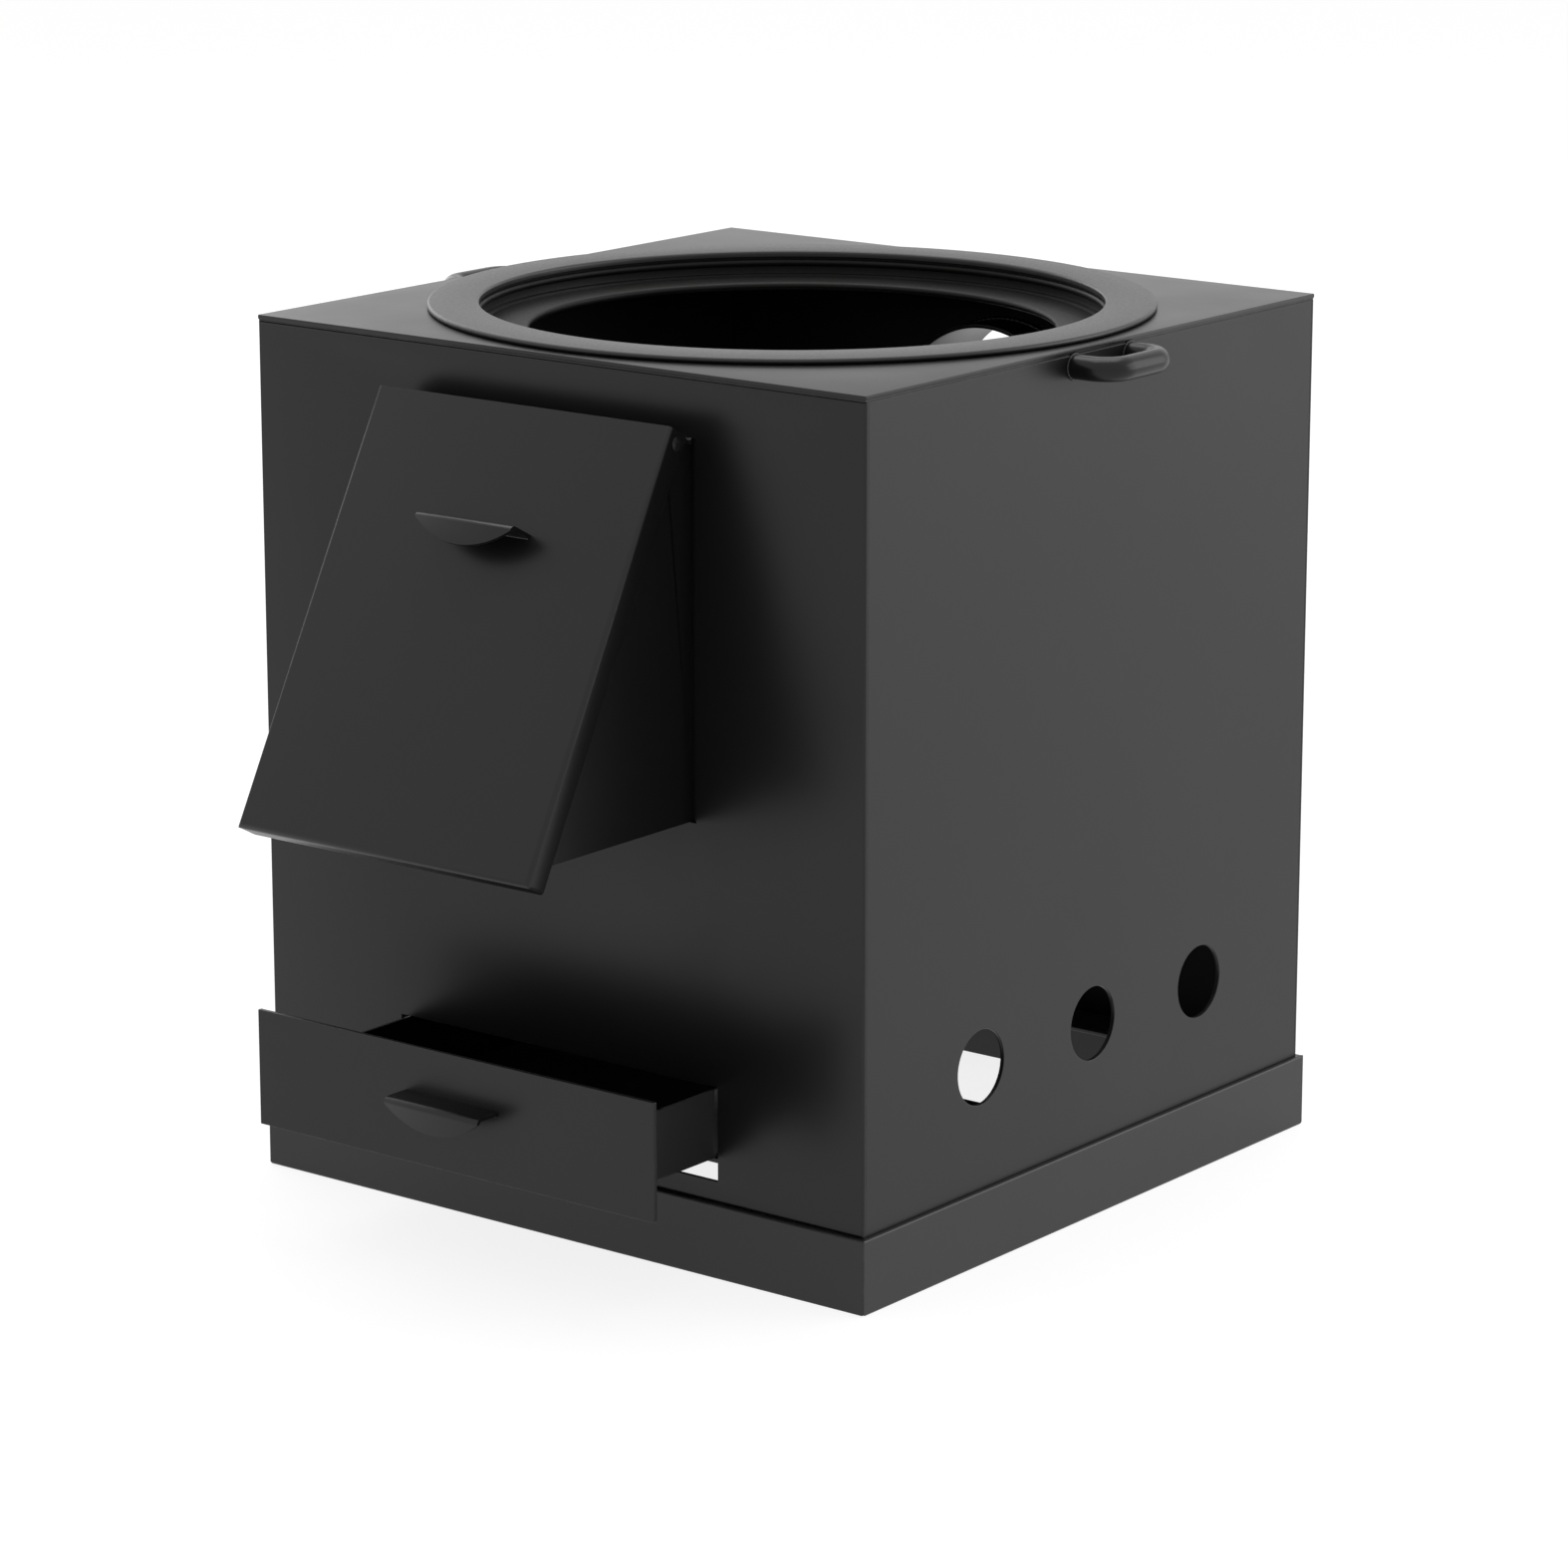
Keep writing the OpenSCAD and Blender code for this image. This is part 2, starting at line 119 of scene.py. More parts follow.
# 1 where the surface faces the fire box, 0 outside it; it marks where soot and painted shade go
def insideBox(tree, reach, floorZ, roofZ):
    parts = addNode(tree, "ShaderNodeSeparateXYZ")
    tree.links.new(objectPoint(tree), parts.inputs["Vector"])
    across = combine(tree, "ABSOLUTE", parts.outputs["X"], 0.0)
    along = combine(tree, "ABSOLUTE", parts.outputs["Y"], 0.0)
    widest = combine(tree, "MAXIMUM", across, along)
    mask = combine(tree, "LESS_THAN", widest, reach)
    mask = combine(tree, "MULTIPLY", mask, combine(tree, "GREATER_THAN", parts.outputs["Z"], floorZ))
    return combine(tree, "MULTIPLY", mask, combine(tree, "LESS_THAN", parts.outputs["Z"], roofZ))


# 1 along edges, where the bevelled normal turns away from the flat one
def edgeMask(tree, radius):
    edge = addNode(tree, "ShaderNodeBevel", Radius=radius, samples=4)
    geometry = addNode(tree, "ShaderNodeNewGeometry")
    dot = addNode(tree, "ShaderNodeVectorMath", operation="DOT_PRODUCT")
    tree.links.new(edge.outputs["Normal"], dot.inputs[0])
    tree.links.new(geometry.outputs["Normal"], dot.inputs[1])
    return remap(tree, dot.outputs["Value"], *coat["edgeTurn"], 0.0, 1.0)


coat = {
    "colour": (0.0050, 0.0050, 0.0051),
    "dust": (0.0095, 0.0095, 0.0097),
    "wornAndLitEdge": (0.050, 0.050, 0.052),
    "sootAndShade": (0.0030, 0.0027, 0.0025),
    "specular": 0.335,
    "roughness": 0.345,
    "roughSpread": 0.07,
    "grain": 1500.0,                      # scales of the noises
    "peel": 330.0,
    "cloud": 7.0,
    "smoke": 11.0,
    "wearAndHighlight": 60.0,
    "ragged": 24.0,
    "cloudRange": (0.35, 0.75, 0.0, 0.35),  # noise from and to, then share from and to
    "speckRange": (0.62, 0.74, 0.0, 0.30),
    "smokeRange": (0.35, 0.65),
    "wearAndHighlightRange": (0.48, 0.66),
    "wearAndHighlightWidth": 0.0014,                  # how far from an edge the coat is painted paler, as rubbed wear and as a painted highlight, in metres
    "edgeTurn": (0.985, 0.90),            # cosines between which the edge mask rises
    "grainBump": (0.12, 0.00010),         # strength and depth
    "peelBump": (0.08, 0.00030),
    "fireBox": (0.2485, 0.0545, 0.5795),  # half width, floor and roof, in metres
    "fireRoughness": 0.85,
    "sootShadeEdge": 0.02,                     # how far the border of the soot and painted shade strays, in metres
    "sootShadeCover": 0.9,
    "sootShadeShine": 0.3,
}


# matt powder coat: fine grain over a soft orange peel, cloudy gloss, edges painted a little paler, partly as
# rubbed wear and partly as a painted highlight;
# the sooted span gives the two places in Y between which soot and painted shade take over
def makeCoat(name, shade=1.0, gloss=0.0, wearAndHighlight=0.5, smoked=0.0, fireSide=False, shine=1.0, sootShadeSpan=None):
    mat, tree, shader = newMaterial(name)
    point = objectPoint(tree)
    cloud = noise(tree, point, coat["cloud"], 4)
    grain = noise(tree, point, coat["grain"], 2, 0.6)
    peel = noise(tree, point, coat["peel"], 2, 0.5)
    # shade makes a lighter or darker copy of the coat; the tray and foot use it to paint light on them, the
    # inner parts to paint shade
    tone = tuple(c * shade for c in coat["colour"])
    dusty = tuple(c * shade for c in coat["dust"])
    colour = mixColour(tree, remap(tree, cloud, *coat["cloudRange"]), tone, dusty)
    colour = mixColour(tree, remap(tree, grain, *coat["speckRange"]), colour, dusty)
    if smoked:
        smoke = remap(tree, noise(tree, point, coat["smoke"], 5), *coat["smokeRange"], 0.0, smoked)
        colour = mixColour(tree, smoke, colour, coat["sootAndShade"])
    # edges painted paler: partly rubbed wear, partly a painted highlight along them
    patch = remap(tree, noise(tree, point, coat["wearAndHighlight"], 4, 0.65), *coat["wearAndHighlightRange"], 0.0, wearAndHighlight)
    rubbedAndLit = combine(tree, "MULTIPLY", edgeMask(tree, coat["wearAndHighlightWidth"]), patch)
    colour = mixColour(tree, rubbedAndLit, colour, coat["wornAndLitEdge"])
    low = coat["roughness"] - gloss - coat["roughSpread"] / 2
    rough = remap(tree, cloud, 0.3, 0.7, low + coat["roughSpread"], low)
    if fireSide:
        # inner faces take the soot colour: soot, and painted shade for the unlit inside of the fire box
        inner = insideBox(tree, *coat["fireBox"])
        colour = mixColour(tree, inner, colour, coat["sootAndShade"])
        sooty = combine(tree, "MULTIPLY", inner, coat["fireRoughness"])
        rough = combine(tree, "MAXIMUM", rough, sooty)
    shader.inputs["Specular IOR Level"].default_value = coat["specular"] * shine
    # behind the front wall the tray turns to the soot colour: soot, and painted shade for the dark inside of
    # the stove
    if sootShadeSpan:
        parts = addNode(tree, "ShaderNodeSeparateXYZ")
        tree.links.new(point, parts.inputs["Vector"])
        border = noise(tree, point, coat["ragged"], 5, 0.6)
        ragged = remap(tree, border, 0.3, 0.7, -coat["sootShadeEdge"], coat["sootShadeEdge"])
        depth = combine(tree, "ADD", parts.outputs["Y"], ragged)
        fade = remap(tree, depth, sootShadeSpan[0], sootShadeSpan[1], 0.0, coat["sootShadeCover"])
        colour = mixColour(tree, fade, colour, coat["sootAndShade"])
        dull = remap(tree, fade, 0.0, 1.0, coat["specular"] * shine, coat["specular"] * coat["sootShadeShine"])
        tree.links.new(dull, shader.inputs["Specular IOR Level"])
    tree.links.new(colour, shader.inputs["Base Color"])
    tree.links.new(rough, shader.inputs["Roughness"])
    soft = addBump(tree, peel, *coat["peelBump"])
    fine = addBump(tree, grain, *coat["grainBump"], soft)
    tree.links.new(fine, shader.inputs["Normal"])
    return mat


iron = {
    "colour": (0.0062, 0.0061, 0.0060),
    "pale": (0.0125, 0.0122, 0.0120),
    "sootAndShade": (0.0060, 0.0053, 0.0048),
    "specular": 0.43,
    "pit": 420.0,                 # scales of the noises and of the turned rings
    "lump": 70.0,
    "smoke": 14.0,
    "rings": 300.0,
    "toneRange": (0.3, 0.7, 0.0, 0.45),
    "smokeRange": (0.4, 0.62, 0.1),
    "roughSpread": (0.05, -0.04),
    "pitBump": (0.20, 0.00022),   # strength and depth
    "lumpBump": (0.10, 0.0007),
    "ringDepth": 0.00008,
}


# cast iron under stove black: pitted, softly lumpy, turned faces with fine rings
def makeIron(name, roughness, smoked=0.0, turned=0.0, shine=1.0):
    mat, tree, shader = newMaterial(name)
    point = objectPoint(tree)
    pit = noise(tree, point, iron["pit"], 4, 0.62)
    lump = noise(tree, point, iron["lump"], 3, 0.5)
    tone = remap(tree, lump, *iron["toneRange"])
    colour = mixColour(tree, tone, iron["colour"], iron["pale"])
    if smoked:
        smoke = remap(tree, noise(tree, point, iron["smoke"], 5), *iron["smokeRange"], smoked)
        colour = mixColour(tree, smoke, colour, iron["sootAndShade"])
    tree.links.new(colour, shader.inputs["Base Color"])
    rough = remap(tree, pit, 0.3, 0.7, *[roughness + s for s in iron["roughSpread"]])
    tree.links.new(rough, shader.inputs["Roughness"])
    shader.inputs["Specular IOR Level"].default_value = iron["specular"] * shine
    normal = addBump(tree, pit, *iron["pitBump"])
    normal = addBump(tree, lump, *iron["lumpBump"], normal)
    if turned:
        rings = addNode(tree, "ShaderNodeTexWave", wave_type="RINGS", rings_direction="Z",
                        Scale=iron["rings"], Distortion=0.6)
        tree.links.new(point, rings.inputs["Vector"])
        normal = addBump(tree, rings.outputs["Fac"], turned, iron["ringDepth"], normal)
    tree.links.new(normal, shader.inputs["Normal"])
    return mat


steel = {
    "dark": (0.055, 0.055, 0.056),
    "pale": (0.10, 0.10, 0.10),
    "roughness": (0.34, 0.5),
    "streak": (8, 500, 500),   # drawn along X
    "bump": (0.2, 0.00008),
}


# bare steel of the hinge rod, drawn along its length and dulled
def makeSteel(name):
    mat, tree, shader = newMaterial(name)
    streak = noise(tree, objectPoint(tree, steel["streak"]), 1.0, 3)
    colour = mixColour(tree, remap(tree, streak, 0.3, 0.7, 0, 1), steel["dark"], steel["pale"])
    tree.links.new(colour, shader.inputs["Base Color"])
    shader.inputs["Metallic"].default_value = 1.0
    tree.links.new(remap(tree, streak, 0.3, 0.7, *steel["roughness"]), shader.inputs["Roughness"])
    tree.links.new(addBump(tree, streak, *steel["bump"]), shader.inputs["Normal"])
    return mat


lining = {
    "sootAndShade": (0.0007, 0.0006, 0.0006),
    "ash": (0.0030, 0.0028, 0.0026),
    "roughness": (0.95, 0.8),
    "specular": 0.04,
    "patch": 26.0,             # scales of the noises
    "grain": 900.0,
    "ashRange": (0.52, 0.74),
    "bump": (0.3, 0.0003),
}


# soot and fine ash that line the tray, near black also as painted shade for the dark inside of the tray, too
# dull to mirror anything
def makeSootAndShade(name):
    mat, tree, shader = newMaterial(name)
    point = objectPoint(tree)
    ash = remap(tree, noise(tree, point, lining["patch"], 6, 0.6), *lining["ashRange"], 0.0, 1.0)
    colour = mixColour(tree, ash, lining["sootAndShade"], lining["ash"])
    tree.links.new(colour, shader.inputs["Base Color"])
    tree.links.new(remap(tree, ash, 0, 1, *lining["roughness"]), shader.inputs["Roughness"])
    shader.inputs["Specular IOR Level"].default_value = lining["specular"]
    grain = noise(tree, point, lining["grain"], 3)
    tree.links.new(addBump(tree, grain, *lining["bump"]), shader.inputs["Normal"])
    return mat


wallCoat = makeCoat("wallCoat", wearAndHighlight=0.45, fireSide=True)
plateCoat = makeCoat("plateCoat", shade=1.6, gloss=0.015, wearAndHighlight=0.5, fireSide=True, shine=1.04)
# the foot's coat is painted twice as light as the walls, standing in for light thrown up from the floor
footCoat = makeCoat("footCoat", shade=2.0, gloss=0.02, wearAndHighlight=0.7, shine=1.2)
doorCoat = makeCoat("doorCoat", wearAndHighlight=0.45)
# the tray's coat is painted 4.3 times lighter to stand in for light reaching its side; behind the wall it
# turns to soot and painted shade
trayCoat = makeCoat("trayCoat", shade=4.3, wearAndHighlight=0.3, shine=1.3, sootShadeSpan=(-0.25, -0.13))
handleCoat = makeCoat("handleCoat", shade=0.9, gloss=0.09, wearAndHighlight=0.3, shine=0.84)
flueCoat = makeCoat("flueCoat", shade=1.2, wearAndHighlight=0.4, shine=0.9)
# inner parts: a darker copy of the coat, painted shade for where they sit, with random soot clouds over it
innerCoat = makeCoat("innerCoat", shade=0.8, wearAndHighlight=0.2, smoked=0.7)
weldCoat = makeCoat("weldCoat", shade=1.3, gloss=0.06, wearAndHighlight=0.2)
ringIron = makeIron("ringIron", 0.37, turned=0.08, shine=1.05)
# a darker, duller, smoked copy of ringIron that paints the shade in the ring's throat and on the reducer
shadedThroatIron = makeIron("shadedThroatIron", 0.46, smoked=0.9, turned=0.04, shine=0.28)
grateIron = makeIron("grateIron", 0.55, smoked=0.8)
rodSteel = makeSteel("rodSteel")
ashSootAndShade = makeSootAndShade("ashSootAndShade")
print("stove: materials ready")


# where a CAD node begins, ends and has its middle along an axis, in millimetres
def nodeLow(name, axis):
    return round(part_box(name)[0]["XYZ".index(axis)] / mm, 3)


def nodeHigh(name, axis):
    return round(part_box(name)[1]["XYZ".index(axis)] / mm, 3)


def nodeMiddle(name, axis):
    return (nodeLow(name, axis) + nodeHigh(name, axis)) / 2


# meshes are made in millimetres until a piece is finished
near = 0.01    # places closer than this count as the same
crease = 60    # degrees from which an edge counts as sharp
walls = {
    "half": nodeHigh("front_wall", "X"),
    "low": nodeLow("front_wall", "Z"),
    "high": nodeHigh("front_wall", "Z"),
    "thick": nodeHigh("front_wall", "Y") - nodeLow("front_wall", "Y"),
    "corner": 1.9,
}


def flatRect(mesh, x0, y0, x1, y1):
    made = bmesh.ops.create_grid(mesh, x_segments=1, y_segments=1, size=0.5)["verts"]
    bmesh.ops.scale(mesh, vec=(x1 - x0, y1 - y0, 1), verts=made)
    bmesh.ops.translate(mesh, vec=((x0 + x1) / 2, (y0 + y1) / 2, 0), verts=made)


# fills the sheet between its outer loop and the loops of its holes
def fillSheet(mesh):
    bmesh.ops.delete(mesh, geom=mesh.faces[:], context="FACES_ONLY")
    bmesh.ops.triangle_fill(mesh, use_beauty=True, use_dissolve=False, edges=mesh.edges[:], normal=(0, 0, 1))
    bmesh.ops.recalc_face_normals(mesh, faces=mesh.faces)


# extrudes the given faces along a vector and gives back the moved ones; keep leaves the first ones as a cap
def pushFaces(mesh, faces, step, keep=True):
    made = bmesh.ops.extrude_face_region(mesh, geom=faces, use_keep_orig=True)["geom"]
    moved = [g for g in made if isinstance(g, bmesh.types.BMVert)]
    bmesh.ops.translate(mesh, vec=step, verts=moved)
    if not keep:
        bmesh.ops.delete(mesh, geom=faces, context="FACES")
    return [g for g in made if isinstance(g, bmesh.types.BMFace)]


def pickEdges(mesh, test):
    return [e for e in mesh.edges if all(test(v.co) for v in e.verts)]


def sharpEdges(mesh, degrees):
    return [e for e in mesh.edges if len(e.link_faces) == 2 and e.calc_face_angle(0) > math.radians(degrees)]


def roundOff(mesh, edges, radius, segments=4):
    bmesh.ops.bevel(mesh, geom=edges, offset=radius, offset_type="OFFSET", affect="EDGES", segments=segments,
                    profile=0.5, material=-1, clamp_overlap=True)


# spins a closed outline of (distance from the axis, place along it) round Z, or round X
def turnOutline(mesh, outline, steps, alongX=False):
    verts = [mesh.verts.new((p, r, 0) if alongX else (r, 0, p)) for r, p in outline]
    edges = [mesh.edges.new((verts[i], verts[(i + 1) % len(verts)])) for i in range(len(verts))]
    axis = (1, 0, 0) if alongX else (0, 0, 1)
    bmesh.ops.spin(mesh, geom=verts + edges, cent=(0, 0, 0), axis=axis, angle=2 * math.pi, steps=steps,
                   use_merge=True, use_duplicate=False)
    bmesh.ops.remove_doubles(mesh, verts=mesh.verts, dist=0.001)
    bmesh.ops.recalc_face_normals(mesh, faces=mesh.faces)


# scales to metres, marks sharp edges, and seats the piece on its body
def finishPiece(name, mesh, mats, body, replaced=(), place=None, sharp=32):
    bmesh.ops.remove_doubles(mesh, verts=mesh.verts, dist=0.0005)
    if place:
        bmesh.ops.transform(mesh, matrix=place, verts=mesh.verts)
    bmesh.ops.scale(mesh, vec=(mm, mm, mm), verts=mesh.verts)
    mesh.normal_update()
    for face in mesh.faces:
        face.smooth = True
    for edge in sharpEdges(mesh, sharp):
        edge.smooth = False
    data = bpy.data.meshes.new(name)
    mesh.to_mesh(data)
    mesh.free()
    for mat in mats if isinstance(mats, list) else [mats]:
        data.materials.append(mat)
    piece = bpy.data.objects.new(name, data)
    scene.collection.objects.link(piece)
    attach(piece, body)
    if replaced:
        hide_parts(*replaced)


# top plate: a rounded edge, and below it the dark joint in which it is welded to the walls
topSheet = {
    "top": nodeHigh("top_plate", "Z"),
    "holeRadius": 214.0,
    "holeSides": 160,
    "lipDepth": 2.9,    # upper part that shows as a bright edge
    "jointDepth": 1.1,  # recessed part below it
    "jointInset": 0.6,
    "edge": 1.5,
}


def makeTopSheet():
    t = topSheet
    mesh = bmesh.new()
    flatRect(mesh, -walls["half"], -walls["half"], walls["half"], walls["half"])
    bmesh.ops.create_circle(mesh, cap_ends=False, segments=t["holeSides"], radius=t["holeRadius"])
    fillSheet(mesh)
    lip = pushFaces(mesh, mesh.faces[:], (0, 0, -t["lipDepth"]))
    bmesh.ops.inset_region(mesh, faces=lip, thickness=t["jointInset"], use_even_offset=True)
    pushFaces(mesh, lip, (0, 0, -t["jointDepth"]), keep=False)
    bmesh.ops.recalc_face_normals(mesh, faces=mesh.faces)
    rim = walls["half"] - near
    outer = pickEdges(mesh, lambda c: max(abs(c.x), abs(c.y)) > rim and c.z > -near)
    corners = [e for e in mesh.edges if all(abs(v.co.x) > rim and abs(v.co.y) > rim for v in e.verts)]
    roundOff(mesh, list(set(outer + corners)), t["edge"], 4)
    place = Matrix.Translation((0, 0, t["top"]))
    finishPiece("topSheet", mesh, plateCoat, "stove", ["top_plate"], place)


# front wall: one sheet with the mouths of chute and drawer, its upright corners rounded by the grinder
frontSheet = {
    # mouths: left, lower, right and upper edge
    "chute": (-117.5, nodeLow("chute_floor", "Z"), 117.5, nodeHigh("chute_roof", "Z")),
    "drawer": (-134.0, 64.0, 134.0, 127.0),
    "edge": 0.35,
}


# turns a sheet drawn in X and Y upright, its upper side to the front
upright = Matrix(((1, 0, 0, 0), (0, 0, -1, 0), (0, 1, 0, 0), (0, 0, 0, 1)))


# fills a wall between its loops, gives it its thickness and rounds its upright corners
def thickenWall(mesh):
    fillSheet(mesh)
    pushFaces(mesh, mesh.faces[:], (0, 0, -walls["thick"]))
    bmesh.ops.recalc_face_normals(mesh, faces=mesh.faces)
    corner = pickEdges(mesh, lambda c: abs(c.x) > walls["half"] - near and c.z > -near)
    roundOff(mesh, corner, walls["corner"], 5)


def makeFrontSheet():
    f = frontSheet
    mesh = bmesh.new()
    flatRect(mesh, -walls["half"], walls["low"], walls["half"], walls["high"])
    flatRect(mesh, *f["chute"])
    flatRect(mesh, *f["drawer"])
    thickenWall(mesh)
    widest = f["drawer"][2] + 1
    mouths = [e for e in sharpEdges(mesh, crease)
              if all(v.co.z > -near and abs(v.co.x) < widest for v in e.verts)]
    roundOff(mesh, mouths, f["edge"], 2)
    place = Matrix.Translation((0, -walls["half"], 0)) @ upright
    finishPiece("frontSheet", mesh, wallCoat, "stove", ["front_wall"], place)


backSheet = {
    "flueRadius": nodeHigh("flue_collar", "X"),
    "flueHeight": nodeMiddle("flue_collar", "Z"),
    "flueSides": 128,
}


def makeBackSheet():
    b = backSheet
    mesh = bmesh.new()
    flatRect(mesh, -walls["half"], walls["low"], walls["half"], walls["high"])
    hole = bmesh.ops.create_circle(mesh, cap_ends=False, segments=b["flueSides"],
                                   radius=b["flueRadius"])["verts"]
    bmesh.ops.translate(mesh, vec=(0, b["flueHeight"], 0), verts=hole)
    thickenWall(mesh)
    place = Matrix.Rotation(math.pi, 4, "Z") @ Matrix.Translation((0, -walls["half"], 0)) @ upright
    finishPiece("backSheet", mesh, wallCoat, "stove", ["back_wall"], place)


makeTopSheet()
makeFrontSheet()
makeBackSheet()
print("stove: top plate, front and back walls made")


# pot ring turned from one casting: round-edged flange, skirt with a bead, narrow step and seat
potRing = {
    "top": nodeHigh("pot_ring", "Z"),
    "flange": (207.5, 242.0),  # inner and outer radius
    "flangeThick": 4.0,
    "skirt": (209.5, 213.0),
    "beadDepth": 4.5,          # of its middle below the flange
    "bead": 2.5,
    "step": (204.0, 12.0),     # radius, and depth below the flange
    "seat": (196.0, 18.8),
    "foot": 21.8,
    "steps": 180,
    "flangeRound": 1.9,
    "edge": 0.5,
}


def makePotRing():
    p = potRing
    inner, outer = p["flange"]
    wall, back = p["skirt"]
    outline = [(outer, 0), (outer, p["flangeThick"]), (inner, p["flangeThick"]), (inner, 0), (wall, 0)]
    for degrees in range(90, 271, 30):
        turn = math.radians(degrees)
        outline.append((wall + p["bead"] * math.cos(turn), -p["beadDepth"] + p["bead"] * math.sin(turn)))
    outline += [(wall, -p["step"][1]), (p["step"][0], -p["step"][1]), (p["step"][0], -p["seat"][1]),
                (p["seat"][0], -p["seat"][1]), (p["seat"][0], -p["foot"]), (back, -p["foot"]), (back, 0)]
    mesh = bmesh.new()
    turnOutline(mesh, outline, p["steps"])
    rounds = [e for e in sharpEdges(mesh, crease) if all(v.co.z > p["flangeThick"] - near or
              (abs(v.co.z) < near and v.co.xy.length > outer - 0.1) for v in e.verts)]
    roundOff(mesh, rounds, p["flangeRound"], 4)
    rest = [e for e in sharpEdges(mesh, crease) if all(v.co.z < -p["step"][1] + 0.1 for v in e.verts)]
    roundOff(mesh, rest, p["edge"], 2)
    # faces below the flange and inside the skirt get the darker iron, painted shade for the throat
    for face in mesh.faces:
        middle = face.calc_center_median()
        face.material_index = 1 if middle.z < -0.2 and middle.xy.length < back - 0.5 else 0
    place = Matrix.Translation((0, 0, p["top"] - p["flangeThick"]))
    finishPiece("potRing", mesh, [ringIron, shadedThroatIron], "pot_ring", ["pot_ring"], place)


# flat ring that lies on the seat and narrows the mouth for smaller pots
reducer = {
    "hole": 175.0,
    "outer": nodeHigh("reducing_ring", "X"),
    "low": nodeLow("reducing_ring", "Z"),
    "top": nodeHigh("reducing_ring", "Z"),
    "nose": 2.4,
    "edge": 0.6,
    "steps": 180,
}


def makeReducer():
    r = reducer
    mesh = bmesh.new()
    outline = [(r["hole"], r["low"]), (r["outer"], r["low"]), (r["outer"], r["top"]), (r["hole"], r["top"])]
    turnOutline(mesh, outline, r["steps"])
    middle = (r["hole"] + r["outer"]) / 2
    nose = [e for e in sharpEdges(mesh, crease) if all(v.co.xy.length < middle for v in e.verts)]
    roundOff(mesh, nose, r["nose"], 5)
    rim = [e for e in sharpEdges(mesh, crease) if all(v.co.xy.length > middle for v in e.verts)]
    roundOff(mesh, rim, r["edge"], 2)
    finishPiece("reducingRing", mesh, shadedThroatIron, "reducing_ring", ["reducing_ring"])


makePotRing()
makeReducer()
print("stove: rings turned")


# chute door folded from one sheet, with rims on both sides and below, corners welded and dressed
chuteDoor = {
    "topEdge": (-276.75, nodeHigh("chute_door", "Z")),  # outer face's upper edge in Y and Z
    "tilt": 28.15,                # degrees from upright
    "halfWidth": nodeHigh("chute_door", "X"),
    "length": 298.47,
    "rim": 17.0,
    "thick": 3.0,
    "fold": 3.3,
    "corner": 2.0,                # welded corners of the rims
    "edge": 0.55,
    "topRound": 2.5,              # upper edge, dressed round with the file
}


# X across, Y up the door, Z out of it
def onDoor():
    s, c = math.sin(math.radians(chuteDoor["tilt"])), math.cos(math.radians(chuteDoor["tilt"]))
    y, z = chuteDoor["topEdge"]
    return Matrix(((1, 0, 0, 0), (0, s, -c, y), (0, c, s, z), (0, 0, 0, 1)))


# an open box whose fold edges are rounded before its wall is given its thickness inwards
def foldedBox(mesh, low, high, openSides, fold, cornerRound, thick, edge):
    bmesh.ops.create_cube(mesh, size=1.0)
    middle = Vector([(high[i] + low[i]) / 2 for i in range(3)])
    bmesh.ops.scale(mesh, vec=[high[i] - low[i] for i in range(3)], verts=mesh.verts)
    bmesh.ops.translate(mesh, vec=middle, verts=mesh.verts)
    for axis, sign in openSides:
        gone = [f for f in mesh.faces if f.normal[axis] * sign > 0.9]
        bmesh.ops.delete(mesh, geom=gone, context="FACES")
    floorAxis = openSides[0][0]

    def steepness(e):
        return abs((e.verts[1].co - e.verts[0].co).normalized()[floorAxis])

    roundOff(mesh, [e for e in mesh.edges if len(e.link_faces) == 2 and steepness(e) <= 0.9], fold, 6)
    roundOff(mesh, [e for e in sharpEdges(mesh, crease) if steepness(e) > 0.99], cornerRound, 4)
    bmesh.ops.recalc_face_normals(mesh, faces=mesh.faces)
    if sum(f.normal.dot(f.calc_center_median() - middle) for f in mesh.faces) < 0:
        bmesh.ops.reverse_faces(mesh, faces=mesh.faces)
    bmesh.ops.solidify(mesh, geom=mesh.faces[:] + mesh.edges[:] + mesh.verts[:], thickness=thick)
    roundOff(mesh, sharpEdges(mesh, crease), edge, 2)


def makeChuteDoor():
    d = chuteDoor
    mesh = bmesh.new()
    foldedBox(mesh, (-d["halfWidth"], -d["length"], -d["rim"]), (d["halfWidth"], 0, 0), [(2, -1), (1, 1)],
              d["fold"], d["corner"], d["thick"], d["edge"])
    brow = [e for e in mesh.edges if all(abs(v.co.z) < 0.05 and v.co.y > -1.2 for v in e.verts)
            and e.calc_length() > d["halfWidth"]]
    roundOff(mesh, brow, d["topRound"], 4)
    finishPiece("chuteDoor", mesh, doorCoat, "door", ["chute_door"], onDoor())


# pull bent from a strip: shelf, bend, and a lip cut to a flat arc
sheetPull = {
    "width": 2 * nodeHigh("drawer_pull", "X"),
    "out": nodeHigh("drawer_pull", "Y") - nodeLow("drawer_pull", "Y"),
    "lip": 15.5,
    "thick": 2.5,
    "bend": 4.0,
    "edge": 0.6,
    "arcSides": 360,         # of the whole circle from which the lip is cut
    "bendSteps": 7,
    "doorAt": 81.5,          # below the door's upper edge
    "drawerAt": nodeHigh("drawer_pull", "Z"),
    "drawerFace": nodeLow("drawer_front", "Y"),
}


